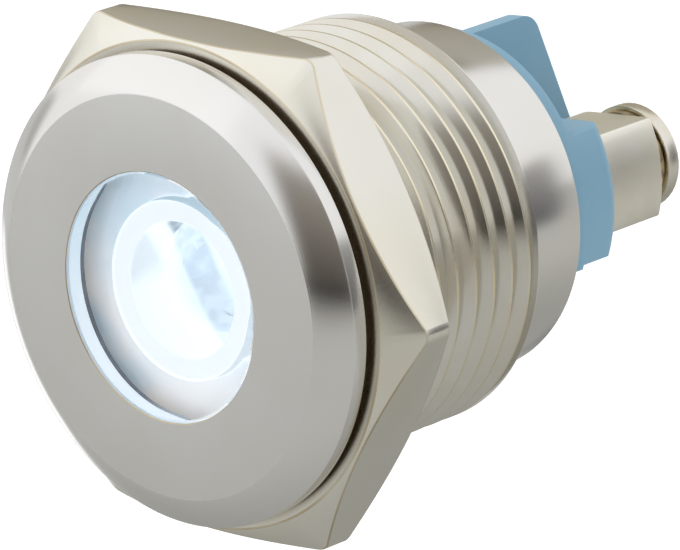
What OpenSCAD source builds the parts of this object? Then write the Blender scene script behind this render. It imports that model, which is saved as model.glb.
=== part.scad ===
// Flush panel pilot light with a threaded metal body, a hex nut and two screw terminals.
// The lamp's axis is Y. The front faces -Y and the terminals point to +Y.
// The origin is the centre of the flange's rear face, the face that meets the panel.

/* [Front flange] */
// Outside diameter of the flange
flange_d = 18; // [17.4:0.1:20]
// Thickness of the flange
flange_t = 1.5; // [1.2:0.1:2.5]
// Diameter of the flat front face inside the bevel
face_d = 15.4; // [14:0.1:16.4]
// Length of the bevel along the axis
bevel_l = 0.85; // [0.3:0.05:1]
// Diameter of the round window for the lens
window_d = 9.55; // [8.6:0.05:10.4]

/* [Threaded barrel] */
// Major diameter of the fixing thread
thread_d = 16; // [15.8:0.1:16.6]
// Length of the threaded part behind the flange
thread_l = 10.65; // [10:0.05:11.4]
// Outside diameter of the plain tail
tail_d = 13.75; // [13.5:0.05:14.4]
// Length of the body behind the flange
body_l = 14.35; // [14:0.05:15]
// Diameter of the bore that holds the inner parts
bore_d = 12.7; // [12.6:0.05:12.9]

/* [Fixing nut and gasket] */
// Distance across the flats of the hex nut
nut_af = 18.9; // [18.2:0.1:20]
// Thickness of the nut
nut_t = 3.1; // [2:0.1:3.6]
// Turn of the nut's corners about the axis, in degrees
nut_turn = -6; // [-30:1:30]
// Angle of the nut's corner chamfers, in degrees
nut_chamfer = 28; // [15:1:32]
// Thickness of the gasket behind the flange
gasket_t = 0.26; // [0.2:0.02:0.6]
// Outside diameter of the gasket
gasket_d = 17.3; // [16.8:0.1:17.6]

/* [Terminal base] */
// Diameter of the base's rim behind the tail
rim_d = 12.9; // [12.8:0.05:13.2]
// Length of the base's rim along the axis
rim_l = 1.05; // [0.8:0.05:1.4]
// Thickness of the barrier between the terminals
barrier_t = 0.8; // [0.6:0.05:1.1]
// Height of the barrier from edge to edge
barrier_h = 11.9; // [10:0.1:12.2]
// Radius of the barrier's outer corners
barrier_corner = 0.9; // [0.5:0.1:1.5]
// Slope of the barrier's rear edges, in degrees
barrier_slope = 18.6; // [12:0.2:22]
// Rear end of the barrier's nose, behind the flange
barrier_end = 21.8; // [21.4:0.05:22.2]
// Length of the collars round the terminal posts
collar_l = 2; // [1:0.1:2.2]
// Height of the collars across the posts
collar_h = 5.2; // [5:0.05:5.6]

/* [Terminals] */
// Distance from the lamp's axis to each screw
screw_x = 3.15; // [3.05:0.05:3.2]
// Height of each post across its two flats
post_h = 3.9; // [3.7:0.05:4.1]
// Rear end of the posts, behind the flange
post_end = 21; // [20:0.1:22]
// Diameter of the terminal screws' thread
screw_d = 2.5; // [2.2:0.1:2.6]
// Diameter of the screw heads
head_d = 4.2; // [4:0.1:4.4]
// Thickness of the spring washers
washer_t = 0.4; // [0.3:0.02:0.42]

/* [Lamp] */
// Diameter of the light-emitting diode
led_d = 5; // [4.6:0.1:5]
// Thickness of the circuit board
board_t = 1; // [0.8:0.1:1.2]

/* [Hidden] */
$fn = 96;

// Clearances
slip = 0.05;
hair = 0.02;

// Barrel
thread_r = thread_d / 2;
tail_r = tail_d / 2;
bore_r = bore_d / 2;
window_r = window_d / 2;
lens_seat_y = 0.3;
tail_fillet = 0.12;
relief_l = 0.3;
relief_r = thread_r - 0.65;
edge_break = 0.15;

// Lens, seal and holder, from the front backwards
seal_t = 0.25;
lens_front_y = -flange_t + 0.04;
lens_flange_y = lens_seat_y + seal_t;
lens_flange_t = 0.8;
lens_flange_r = bore_r - 0.1;
lens_edge = 0.12;
lens_pocket_r = 3.45;
lens_pocket_y = lens_flange_y;
holder_y = lens_flange_y + lens_flange_t + slip;
holder_nose_r = 3.35;
holder_nose_y = lens_pocket_y + slip;
holder_end_y = 8.5;

// Light-emitting diode
led_r = led_d / 2;
led_tip_y = holder_nose_y + 0.15;
led_end_y = holder_end_y - 0.2;
led_rim_r = led_r + 0.4;
led_rim_t = 1;
led_rim_flat = led_r + 0.05;
led_pitch = 2.54;
led_lead_r = 0.25;
led_lead_end_y = 10.75;

// Circuit board and its parts
board_y = holder_end_y + 0.5;
board_back_y = board_y + board_t;
board_r = bore_r - 0.2;
part_z = 3.6;
part_lead_r = 0.22;
part_lead_x = 3.2;
resistor_r = 0.95;
resistor_l = 4;
diode_r = 0.85;
diode_l = 3.2;
diode_band_l = 0.5;
part_y = board_back_y + resistor_r + 0.1;

// Nut
nut_y = gasket_t + 0.03;
nut_bore_r = thread_r + slip;
nut_corner_r = nut_af / sqrt(3);
nut_chamfer_r = nut_af / 2 - 0.45;
nut_chamfer_reach = min(nut_corner_r + 1, nut_chamfer_r + nut_t / 2 / tan(nut_chamfer) - hair);
nut_chamfer_drop = (nut_chamfer_reach - nut_chamfer_r) * tan(nut_chamfer);
nut_countersink = 0.35;

// Terminal base
plug_r = bore_r - slip;
plug_y = 12.2;
rim_r = rim_d / 2;
rim_y = body_l + hair;
deck_y = rim_y + rim_l;
rim_edge = 0.2;
oring_tube_r = 0.36;
oring_y = 13.3;
oring_r = bore_r - oring_tube_r - hair;
groove_r = oring_r - oring_tube_r - hair;
groove_w = 1;
barrier_nose_r = 2;
collar_r = 6.25;
collar_corner = 0.9;
collar_edge = 0.7;
pocket_y = deck_y - 0.5;
pocket_relief_r = 0.28;
notch_y = rim_y + 0.3;

// Posts
post_outer_r = 5.4;
post_face_x = 5.38;
post_inner_x = 0.85;
post_inner_corner = 1.2;
post_outer_corner = 0.25;
post_edge = 0.15;
shank_r = 1;
pin_r = 0.5;
pin_end_y = board_y - 0.35;
tap_r = screw_d / 2 + slip;
tap_depth = 4.8;

// Terminal screws and spring washers
screw_r = screw_d / 2;
washer_y = post_end + hair;
washer_r = 1.95;
washer_hole_r = screw_r + 0.1;
washer_split = 0.3;
head_y = washer_y + washer_t + hair;
head_r = head_d / 2;
head_rim_t = 0.6;
head_dome = 0.6;
head_dome_r = (head_r * head_r + head_dome * head_dome) / (2 * head_dome);
screw_l = 4.3;
slot_w = 0.55;
slot_l = 2.6;
slot_depth = 0.7;

// A turned solid about the lamp's axis, from a profile of [radius, y] points
module turned() {
    rotate([-90, 0, 0]) rotate_extrude() children();
}

// A flat shape in X and Z, extruded backwards from y
module slab(y, length) {
    translate([0, y + length, 0]) rotate([90, 0, 0]) linear_extrude(length) children();
}

// A round bar along the lamp's axis
module bar(r, y, length) {
    translate([0, y, 0]) rotate([-90, 0, 0]) cylinder(r = r, h = length);
}

// The side of the lamp that a terminal is on: 1 is right, -1 is left
module on_side(side) {
    if (side > 0) children();
    else mirror([1, 0, 0]) children();
}

// Rectangle with its near corners and far corners rounded by different radii
module rounded_block(x0, x1, height, near_r, far_r) {
    h = height / 2;
    translate([x0, -h + near_r]) square([x1 - x0 - far_r, height - 2 * near_r]);
    translate([x0 + near_r, -h]) square([x1 - x0 - near_r - far_r, height]);
    translate([x1 - far_r - hair, -h + far_r]) square([far_r + hair, height - 2 * far_r]);
    for (s = [-1, 1]) {
        translate([x0 + near_r, s * (h - near_r)]) circle(near_r);
        translate([x1 - far_r, s * (h - far_r)]) circle(far_r);
    }
}

// Metal body: bevelled flange, relief behind it, barrel at the thread's major diameter,
// plain tail and bore
module housing() {
    color([0.78, 0.78, 0.76]) turned() polygon([
        [window_r, -flange_t],
        [face_d / 2, -flange_t],
        [flange_d / 2, -flange_t + bevel_l],
        [flange_d / 2, 0],
        [relief_r, 0],
        [relief_r, relief_l],
        [thread_r, relief_l + thread_r - relief_r],
        [thread_r, thread_l - hair],
        [thread_r - hair, thread_l],
        [tail_r + tail_fillet, thread_l],
        [tail_r, thread_l + tail_fillet],
        [tail_r, body_l - edge_break],
        [tail_r - edge_break, body_l],
        [bore_r, body_l],
        [bore_r, lens_seat_y],
        [window_r, lens_seat_y]]);
}

// Flat rubber ring between the flange and the panel
module panel_gasket() {
    color([0.1, 0.1, 0.1]) turned()
        translate([thread_r + slip, 0]) square([gasket_d / 2 - thread_r - slip, gasket_t]);
}

// Section of the body of revolution that chamfers the nut's corners at both ends
module nut_chamfer_profile() {
    polygon([
        [0, 0],
        [nut_chamfer_r, 0],
        [nut_chamfer_reach, nut_chamfer_drop],
        [nut_chamfer_reach, nut_t - nut_chamfer_drop],
        [nut_chamfer_r, nut_t],
        [0, nut_t]]);
}

// Hex nut with chamfered corners and a countersunk bore
module hex_nut() {
    color([0.85, 0.83, 0.76]) translate([0, nut_y, 0]) difference() {
        intersection() {
            slab(0, nut_t) rotate(nut_turn) circle(nut_corner_r, $fn = 6);
            turned() nut_chamfer_profile();
        }
        bar(nut_bore_r, -1, nut_t + 2);
        turned() polygon([
            [0, -hair],
            [nut_bore_r + nut_countersink + hair, -hair],
            [nut_bore_r, nut_countersink],
            [0, nut_countersink]]);
        turned() polygon([
            [0, nut_t + hair],
            [nut_bore_r + nut_countersink + hair, nut_t + hair],
            [nut_bore_r, nut_t - nut_countersink],
            [0, nut_t - nut_countersink]]);
    }
}

// Soft ring between the window's ledge and the lens's flange
module lens_seal() {
    color([0.85, 0.85, 0.83]) turned()
        translate([window_r + slip, lens_seat_y])
            square([lens_flange_r - window_r - slip, seal_t]);
}

// Clear lens: a flush boss in the window, a flange behind it and a pocket for the lamp
module lens() {
    boss_r = window_r - slip;
    color([0.8, 0.9, 1, 0.5]) turned() polygon([
        [0, lens_front_y],
        [boss_r - lens_edge, lens_front_y],
        [boss_r, lens_front_y + lens_edge],
        [boss_r, lens_flange_y],
        [lens_flange_r, lens_flange_y],
        [lens_flange_r, lens_flange_y + lens_flange_t],
        [lens_pocket_r, lens_flange_y + lens_flange_t],
        [lens_pocket_r, lens_pocket_y],
        [0, lens_pocket_y]]);
}

// White tube that centres the lamp: its nose goes into the lens's pocket
module led_holder() {
    hole_r = led_r + slip;
    rear_hole_r = led_rim_r + slip;
    rim_seat_y = led_end_y - led_rim_t - slip;
    color([0.95, 0.95, 0.95]) turned() polygon([
        [hole_r, holder_nose_y],
        [holder_nose_r, holder_nose_y],
        [holder_nose_r, holder_y],
        [lens_flange_r, holder_y],
        [lens_flange_r, holder_end_y],
        [rear_hole_r, holder_end_y],
        [rear_hole_r, rim_seat_y],
        [hole_r, rim_seat_y]]);
}

// Light-emitting diode: a domed clear body with a rim that is flat on the cathode side
module led_body() {
    dome_y = led_tip_y + led_r;
    color([0.9, 0.95, 1, 0.6]) {
        turned() {
            intersection() {
                translate([0, dome_y]) circle(led_r);
                translate([0, led_tip_y - 1]) square([led_r + 1, led_r + 1 + hair]);
            }
            translate([0, dome_y]) square([led_r, led_end_y - dome_y]);
        }
        intersection() {
            bar(led_rim_r, led_end_y - led_rim_t, led_rim_t);
            translate([-led_rim_r, led_end_y - led_rim_t, -led_rim_flat])
                cube([2 * led_rim_r, led_rim_t, led_rim_flat + led_rim_r]);
        }
    }
}

// One lead of the diode, soldered behind the board; z is its place
module led_lead(z) {
    solder_r = 0.55;
    solder_l = 0.45;
    color([0.8, 0.8, 0.8]) translate([0, 0, z]) {
        bar(led_lead_r, led_end_y, led_lead_end_y - led_end_y);
        turned() polygon([
            [0, board_back_y],
            [solder_r, board_back_y],
            [led_lead_r, board_back_y + solder_l],
            [0, board_back_y + solder_l]]);
    }
}

module led_anode_lead() {
    led_lead(led_pitch / 2);
}

module led_cathode_lead() {
    led_lead(-led_pitch / 2);
}

// Round board with holes for every lead and for the two terminal pins
module circuit_board() {
    hole_gap = 0.1;
    color([0.15, 0.42, 0.25]) difference() {
        bar(board_r, board_y, board_t);
        for (s = [-1, 1]) {
            translate([0, 0, s * led_pitch / 2]) bar(led_lead_r + hole_gap, 0, body_l);
            translate([s * screw_x, 0, 0]) bar(pin_r + hole_gap, 0, body_l);
            for (t = [-1, 1])
                translate([s * part_lead_x, 0, t * part_z])
                    bar(part_lead_r + hole_gap, 0, body_l);
        }
    }
}

// Axial leads of a part that lies on the board, bent down at both ends
module axial_leads() {
    for (s = [-1, 1]) {
        translate([s * part_lead_x, 0, 0]) {
            bar(part_lead_r, board_y - 0.3, part_y - board_y + 0.3);
            translate([0, part_y, 0]) sphere(part_lead_r, $fn = 32);
        }
    }
    translate([-part_lead_x, part_y, 0]) rotate([0, 90, 0])
        cylinder(r = part_lead_r, h = 2 * part_lead_x);
}

// Resistor in series with the lamp: a body with fuller ends and bent leads
module series_resistor() {
    end_l = 0.9;
    waist_r = resistor_r - 0.12;
    color([0.8, 0.7, 0.5]) translate([0, 0, part_z]) {
        axial_leads();
        translate([-resistor_l / 2, part_y, 0]) rotate([0, 90, 0]) {
            cylinder(r = waist_r, h = resistor_l);
            cylinder(r = resistor_r, h = end_l);
            translate([0, 0, resistor_l - end_l]) cylinder(r = resistor_r, h = end_l);
        }
    }
}

// Diode against reversed polarity: a plain body with a raised cathode band
module protection_diode() {
    color([0.15, 0.15, 0.15]) translate([0, 0, -part_z]) {
        axial_leads();
        translate([-diode_l / 2, part_y, 0]) rotate([0, 90, 0]) {
            cylinder(r = diode_r, h = diode_l);
            translate([0, 0, diode_l - 2 * diode_band_l])
                cylinder(r = diode_r + hair, h = diode_band_l);
        }
    }
}

// Rubber ring in the base's groove, which seals the tail
module base_oring() {
    color([0.12, 0.12, 0.12]) turned()
        translate([oring_r, oring_y]) circle(oring_tube_r, $fn = 48);
}

// Outline of the barrier, in Y and Z: round corners, sloping rear edges and a round nose
module barrier_outline() {
    h = barrier_h / 2;
    across = cos(barrier_slope);
    along = sin(barrier_slope);
    nose_y = barrier_end - barrier_nose_r;
    edge = nose_y * across + barrier_nose_r;
    corner_z = h - barrier_corner;
    corner_y = (edge - barrier_corner - corner_z * along) / across;
    polygon([
        [deck_y - rim_l / 2, -h],
        [corner_y, -h],
        [corner_y + barrier_corner * across, -corner_z - barrier_corner * along],
        [nose_y + barrier_nose_r * across, -barrier_nose_r * along],
        [nose_y + barrier_nose_r * across, barrier_nose_r * along],
        [corner_y + barrier_corner * across, corner_z + barrier_corner * along],
        [corner_y, h],
        [deck_y - rim_l / 2, h]]);
    translate([nose_y, 0]) circle(barrier_nose_r);
    for (s = [-1, 1])
        translate([corner_y, s * corner_z]) circle(barrier_corner);
}

// Outline of a terminal post: flat above and below, with a round outer face
module post_outline(grow = 0) {
    intersection() {
        circle(post_outer_r + grow);
        rounded_block(post_inner_x - grow, post_face_x + grow, post_h + 2 * grow,
                      post_inner_corner, post_outer_corner);
    }
}

// Outline of the collar round a post, which joins the barrier
module collar_outline() {
    rounded_block(0, collar_r, collar_h, hair, collar_corner);
}

// Turned shape that gives the collars their round outer side and rounded rear edge
module collar_round() {
    end_y = deck_y + collar_l;
    turned() {
        translate([0, deck_y - 1]) square([collar_r, collar_l + 1 - collar_edge]);
        translate([0, deck_y]) square([collar_r - collar_edge, collar_l]);
        translate([collar_r - collar_edge, end_y - collar_edge]) circle(collar_edge);
    }
}

// Recess that a post stands in, with a relief at each of its outer corners
module post_pocket() {
    relief_z = post_h / 2;
    relief_x = sqrt(post_outer_r * post_outer_r - relief_z * relief_z);
    post_outline(0.08);
    for (s = [-1, 1])
        translate([relief_x, s * relief_z]) circle(pocket_relief_r, $fn = 32);
}

// Room below the collars, where the rim is cut back on both sides of the barrier
module rim_notch() {
    for (side = [-1, 1])
        on_side(side)
            slab(notch_y, deck_y) translate([barrier_t / 2, -2 * rim_r])
                square([2 * rim_r, 2 * rim_r - collar_h / 2]);
}

// Moulded base: plug with its seal groove, rim, barrier and a collar for each post
module terminal_base() {
    color([0.5, 0.68, 0.8]) difference() {
        union() {
            turned() polygon([
                [0, plug_y],
                [plug_r - rim_edge, plug_y],
                [plug_r, plug_y + rim_edge],
                [plug_r, oring_y - groove_w / 2],
                [groove_r, oring_y - groove_w / 2],
                [groove_r, oring_y + groove_w / 2],
                [plug_r, oring_y + groove_w / 2],
                [plug_r, rim_y],
                [rim_r, rim_y],
                [rim_r, deck_y - rim_edge],
                [rim_r - rim_edge, deck_y],
                [0, deck_y]]);
            translate([-barrier_t / 2, 0, 0]) rotate([90, 0, 90])
                linear_extrude(barrier_t) barrier_outline();
            for (side = [-1, 1])
                on_side(side) intersection() {
                    slab(deck_y - 0.4, collar_l + 0.4) collar_outline();
                    collar_round();
                }
        }
        rim_notch();
        for (side = [-1, 1])
            on_side(side) {
                slab(pocket_y, deck_y) post_pocket();
                translate([screw_x, 0, 0]) bar(shank_r + hair, plug_y - 1, body_l);
            }
    }
}

// Terminal post: a block with a tapped end, a shank through the base and a pin to the board
module post(side) {
    color([0.82, 0.8, 0.74]) on_side(side) difference() {
        union() {
            slab(pocket_y + hair, post_end - post_edge - pocket_y - hair) post_outline();
            slab(post_end - 2 * post_edge, 2 * post_edge) post_outline(-post_edge);
            translate([screw_x, 0, 0]) {
                bar(shank_r, plug_y - 0.3, pocket_y - plug_y + 0.5);
                bar(pin_r, pin_end_y, plug_y - pin_end_y);
            }
        }
        translate([screw_x, 0, 0]) bar(tap_r, post_end - tap_depth, tap_depth + 1);
    }
}

module left_post() {
    post(-1);
}

module right_post() {
    post(1);
}

// Split spring washer under a terminal screw's head
module spring_washer(side) {
    color([0.75, 0.75, 0.73]) on_side(side) translate([screw_x, 0, 0]) difference() {
        bar(washer_r, washer_y, washer_t);
        bar(washer_hole_r, washer_y - 1, washer_t + 2);
        translate([0, washer_y - 1, 0]) cube([washer_split, washer_t + 2, washer_r + 1]);
    }
}

module left_spring_washer() {
    spring_washer(-1);
}

module right_spring_washer() {
    spring_washer(1);
}

// Terminal screw: shank, round head with a low dome, and a cross slot
module screw(side) {
    rim_end = head_y + head_rim_t;
    color([0.84, 0.82, 0.76]) on_side(side) translate([screw_x, 0, 0]) difference() {
        union() {
            bar(screw_r, head_y - screw_l, screw_l + hair);
            bar(head_r, head_y, head_rim_t);
            turned() intersection() {
                translate([0, rim_end + head_dome - head_dome_r]) circle(head_dome_r);
                translate([0, rim_end - hair]) square([head_r, head_dome + 1]);
            }
        }
        for (turn = [0, 90])
            rotate([0, turn + 20, 0])
                translate([-slot_l / 2, rim_end + head_dome - slot_depth, -slot_w / 2])
                    cube([slot_l, slot_depth + 1, slot_w]);
    }
}

module left_screw() {
    screw(-1);
}

module right_screw() {
    screw(1);
}

housing();
panel_gasket();
hex_nut();
lens_seal();
lens();
led_holder();
led_body();
led_anode_lead();
led_cathode_lead();
circuit_board();
series_resistor();
protection_diode();
base_oring();
terminal_base();
left_post();
right_post();
left_spring_washer();
right_spring_washer();
left_screw();
right_screw();
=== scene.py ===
import math

import bmesh
import bpy
from mathutils import Matrix, Vector


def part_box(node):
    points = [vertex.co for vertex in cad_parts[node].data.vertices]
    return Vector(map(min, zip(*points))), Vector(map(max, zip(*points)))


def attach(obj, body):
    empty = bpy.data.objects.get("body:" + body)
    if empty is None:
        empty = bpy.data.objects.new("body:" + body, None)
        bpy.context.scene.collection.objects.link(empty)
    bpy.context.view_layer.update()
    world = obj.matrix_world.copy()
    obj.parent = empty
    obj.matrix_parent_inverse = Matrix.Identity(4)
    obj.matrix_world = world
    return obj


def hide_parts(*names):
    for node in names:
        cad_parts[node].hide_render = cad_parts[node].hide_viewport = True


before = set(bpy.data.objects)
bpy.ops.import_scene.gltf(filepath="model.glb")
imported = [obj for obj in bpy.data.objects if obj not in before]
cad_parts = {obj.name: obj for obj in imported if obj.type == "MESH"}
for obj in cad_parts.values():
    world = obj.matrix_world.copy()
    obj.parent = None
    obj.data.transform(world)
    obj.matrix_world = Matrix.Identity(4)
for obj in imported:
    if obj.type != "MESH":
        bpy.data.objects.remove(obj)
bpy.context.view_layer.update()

MM = 0.001


# ---------------------------------------------------------------------------
# Metal body: one turning of brass with a bevelled flange, an M16x1 thread and
# a plain tail. It is brushed across the front, then nickel plated all over.
# ---------------------------------------------------------------------------
flange_low, flange_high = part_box("housing")
flange_r = flange_high.x
front_y = flange_low.y
tail_end_y = flange_high.y
face_r = 7.7 * MM
bevel_length = 0.85 * MM
window_r = 4.775 * MM
bore_r = 6.35 * MM
seat_y = 0.3 * MM
tail_r = 6.875 * MM
crest_r = 7.975 * MM
root_r = 7.38 * MM
thread_pitch = 1.0 * MM
crest_at_right = 0.078 * MM
thread_start_y = 0.92 * MM
thread_end_y = 10.65 * MM


def turn_profile(bm, points, steps=180):
    """Spins (radius, y) points about the lamp's axis into a skin."""
    corners = [bm.verts.new((r, y, 0)) for r, y in points]
    line = [bm.edges.new(pair) for pair in zip(corners, corners[1:])]
    bmesh.ops.spin(bm, geom=corners + line, cent=(0, 0, 0), axis=(0, 1, 0), dvec=(0, 0, 0),
                   angle=math.tau, steps=steps, use_merge=True, use_normal_flip=False,
                   use_duplicate=False)
    bmesh.ops.remove_doubles(bm, verts=bm.verts, dist=0.00004 * MM)


def cut_thread(bm, profile, pitch, turns, steps=120):
    """Winds a right-hand thread backwards along +Y from one pitch of its profile."""
    corners = [bm.verts.new((r, y, 0)) for r, y in profile]
    line = [bm.edges.new(pair) for pair in zip(corners, corners[1:])]
    bmesh.ops.spin(bm, geom=corners + line, cent=(0, 0, 0), axis=(0, 1, 0),
                   dvec=(0, pitch / steps, 0), angle=math.tau * turns, steps=steps * turns,
                   use_merge=False, use_normal_flip=False, use_duplicate=False)
    bmesh.ops.remove_doubles(bm, verts=bm.verts, dist=0.0005 * MM)


def close_ends(bm, middle_y):
    """Joins the open rims in front of, and behind, the middle."""
    open_edges = [e for e in bm.edges if e.is_boundary]
    for end in (-1, 1):
        bmesh.ops.bridge_loops(bm, edges=[e for e in open_edges
                                          if (e.verts[0].co.y - middle_y) * end > 0])


def trim(bm, y, keep_front):
    """Cuts everything off behind, or in front of, the plane at y."""
    bmesh.ops.bisect_plane(bm, geom=bm.verts[:] + bm.edges[:] + bm.faces[:], dist=0,
                           plane_co=(0, y, 0), plane_no=(0, 1, 0),
                           clear_outer=keep_front, clear_inner=not keep_front)


def from_axis(point):
    """How far a point is from the lamp's axis."""
    return math.hypot(point.x, point.z)


def make_piece(name, bm, body, finishes, sharp=28):
    """Turns a bmesh into a smooth-shaded piece that rides on a body."""
    bmesh.ops.recalc_face_normals(bm, faces=bm.faces)
    mesh = bpy.data.meshes.new(name)
    bm.to_mesh(mesh)
    bm.free()
    for finish in finishes:
        mesh.materials.append(finish)
    mesh.polygons.foreach_set("use_smooth", [True] * len(mesh.polygons))
    mesh.set_sharp_from_angle(angle=math.radians(sharp))
    piece = bpy.data.objects.new(name, mesh)
    bpy.context.scene.collection.objects.link(piece)
    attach(piece, body)
    return piece


def new_finish(name, roughness, metallic=0.0, ior=1.5, coat=0.0):
    """A material and its Principled shader; the section that makes it sets the rest."""
    finish = bpy.data.materials.new(name)
    finish.use_nodes = True
    shader = finish.node_tree.nodes["Principled BSDF"]
    shader.inputs["Roughness"].default_value = roughness
    shader.inputs["Metallic"].default_value = metallic
    shader.inputs["IOR"].default_value = ior
    shader.inputs["Coat Weight"].default_value = coat
    return finish, shader


def new_group(name, inputs, outputs):
    """An empty node group with its inputs as (name, value) and outputs as (name, socket type)."""
    group = bpy.data.node_groups.new(name, "ShaderNodeTree")
    for label, value in inputs:
        kind = "NodeSocketColor" if isinstance(value, tuple) else "NodeSocketFloat"
        group.interface.new_socket(label, in_out="INPUT", socket_type=kind).default_value = value
    for label, kind in outputs:
        group.interface.new_socket(label, in_out="OUTPUT", socket_type=kind)
    return group, group.nodes.new("NodeGroupInput"), group.nodes.new("NodeGroupOutput")


def feed(tree, socket, value):
    """Sets an input from another socket, a colour or a number."""
    if isinstance(value, bpy.types.NodeSocket):
        tree.links.new(value, socket)
    else:
        socket.default_value = value + (1,) if isinstance(value, tuple) else value


def use_group(tree, group, values):
    """A node group in a material, with its inputs set by their labels."""
    node = tree.nodes.new("ShaderNodeGroup")
    node.node_tree = group
    for label, value in values.items():
        feed(tree, node.inputs[label], value)
    return node


def maths(tree, operation, a, b=None, c=None):
    """A Math node in a tree; each of a, b and c is a socket or a number."""
    node = tree.nodes.new("ShaderNodeMath")
    node.operation = operation
    for socket, value in zip(node.inputs, (a, b, c)):
        if value is not None:
            feed(tree, socket, value)
    return node.outputs[0]


def place_of(tree):
    """The socket that tells a material where on the piece it is."""
    return tree.nodes.new("ShaderNodeTexCoord").outputs["Object"]


def axes_of(tree):
    """The three sockets X, Y and Z of that place."""
    split = tree.nodes.new("ShaderNodeSeparateXYZ")
    tree.links.new(place_of(tree), split.inputs[0])
    return split.outputs[:]


def reach_of(tree, x, z):
    """How far a place is from the lamp's axis, from its X and Z sockets."""
    return maths(tree, "SQRT", maths(tree, "MULTIPLY_ADD", z, z, maths(tree, "MULTIPLY", x, x)))


def noise(tree, vector, scale, detail):
    """A Noise Texture in a tree, on a vector socket; its scale is a socket or a number."""
    node = tree.nodes.new("ShaderNodeTexNoise")
    node.inputs["Detail"].default_value = detail
    tree.links.new(vector, node.inputs["Vector"])
    feed(tree, node.inputs["Scale"], scale)
    return node.outputs["Fac"]


def blend_tones(tree, share, first, second):
    """Mixes two colours, each a socket or a tuple, by a share socket."""
    node = tree.nodes.new("ShaderNodeMix")
    node.data_type = "RGBA"
    tree.links.new(share, node.inputs["Factor"])
    feed(tree, node.inputs["A"], first)
    feed(tree, node.inputs["B"], second)
    return node.outputs["Result"]


def clear_between(tree, value, low, high):
    """Rises from 0 to 1 while a value goes from low to high."""
    node = tree.nodes.new("ShaderNodeMapRange")
    node.interpolation_type = "SMOOTHSTEP"
    node.inputs["From Min"].default_value = low
    node.inputs["From Max"].default_value = high
    tree.links.new(value, node.inputs["Value"])
    return node.outputs["Result"]


# Plating: a slow drift between a neutral and a warmer tone, with fine mottling in the gloss.
plating, plating_in, plating_out = new_group(
    "nickel plating",
    [("Neutral", (0.8, 0.8, 0.8, 1)), ("Warm", (0.8, 0.75, 0.65, 1)), ("Drift Scale", 200.0),
     ("Gloss", 0.2), ("Gloss Spread", 0.08)],
    [("Color", "NodeSocketColor"), ("Roughness", "NodeSocketFloat"), ("Height", "NodeSocketFloat")])
place = place_of(plating)
drift = clear_between(plating, noise(plating, place, plating_in.outputs["Drift Scale"], 3),
                      0.35, 0.65)
speckle = noise(plating, place, 9000, 4)
toned = blend_tones(plating, drift, plating_in.outputs["Neutral"], plating_in.outputs["Warm"])
plating.links.new(toned, plating_out.inputs["Color"])
plating.links.new(maths(plating, "MULTIPLY_ADD", speckle, plating_in.outputs["Gloss Spread"],
                        plating_in.outputs["Gloss"]), plating_out.inputs["Roughness"])
plating.links.new(speckle, plating_out.inputs["Height"])

# Turning marks: fine rings about the lamp's axis, or steps along it, left by the lathe's tool.
turning, turning_in, turning_out = new_group(
    "turning marks", [("Across", 1.0), ("Along", 0.0), ("Spacing", 0.00005)],
    [("Height", "NodeSocketFloat")])
x, y, z = axes_of(turning)
across = maths(turning, "MULTIPLY", reach_of(turning, x, z), turning_in.outputs["Across"])
along = maths(turning, "MULTIPLY_ADD", y, turning_in.outputs["Along"], across)
rings = turning.nodes.new("ShaderNodeTexNoise")
rings.noise_dimensions = "1D"
rings.inputs["Scale"].default_value = 1
rings.inputs["Detail"].default_value = 3
turning.links.new(maths(turning, "DIVIDE", along, turning_in.outputs["Spacing"]), rings.inputs["W"])
turning.links.new(rings.outputs["Fac"], turning_out.inputs["Height"])


def add_bump(finish, shader, height, strength, distance=0.01 * MM):
    """Lays a bump over whatever already feeds the shader's normal."""
    tree = finish.node_tree
    bump = tree.nodes.new("ShaderNodeBump")
    bump.inputs["Strength"].default_value = strength
    bump.inputs["Distance"].default_value = distance
    tree.links.new(height, bump.inputs["Height"])
    if shader.inputs["Normal"].is_linked:
        tree.links.new(shader.inputs["Normal"].links[0].from_socket, bump.inputs["Normal"])
    tree.links.new(bump.outputs["Normal"], shader.inputs["Normal"])


def cover(finish, shader, group, values, bump, depth):
    """Takes a finish's colour, gloss and texture from a group."""
    tree = finish.node_tree
    coat = use_group(tree, group, values)
    tree.links.new(coat.outputs["Color"], shader.inputs["Base Color"])
    tree.links.new(coat.outputs["Roughness"], shader.inputs["Roughness"])
    add_bump(finish, shader, coat.outputs["Height"], bump, depth)


def plated_metal(name, neutral, warm, gloss, spread_by=0.06, drift_scale=220.0, bump=0.02):
    """Plated metal with the plating's drift in tone and mottled gloss."""
    finish, shader = new_finish(name, gloss, metallic=1.0)
    cover(finish, shader, plating,
          {"Neutral": neutral, "Warm": warm, "Gloss": gloss, "Gloss Spread": spread_by,
           "Drift Scale": drift_scale}, bump, 0.01 * MM)
    return finish, shader


def add_turning(finish, shader, across_by, along_by, spacing, strength):
    """Lays the lathe's marks over a metal."""
    marks = use_group(finish.node_tree, turning,
                      {"Across": across_by, "Along": along_by, "Spacing": spacing})
    add_bump(finish, shader, marks.outputs["Height"], strength)


def light_up(shader, tone, strength):
    """Gives a finish a light of its own; the tone is a colour or a socket."""
    feed(shader.id_data, shader.inputs["Emission Color"], tone)
    shader.inputs["Emission Strength"].default_value = strength


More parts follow.
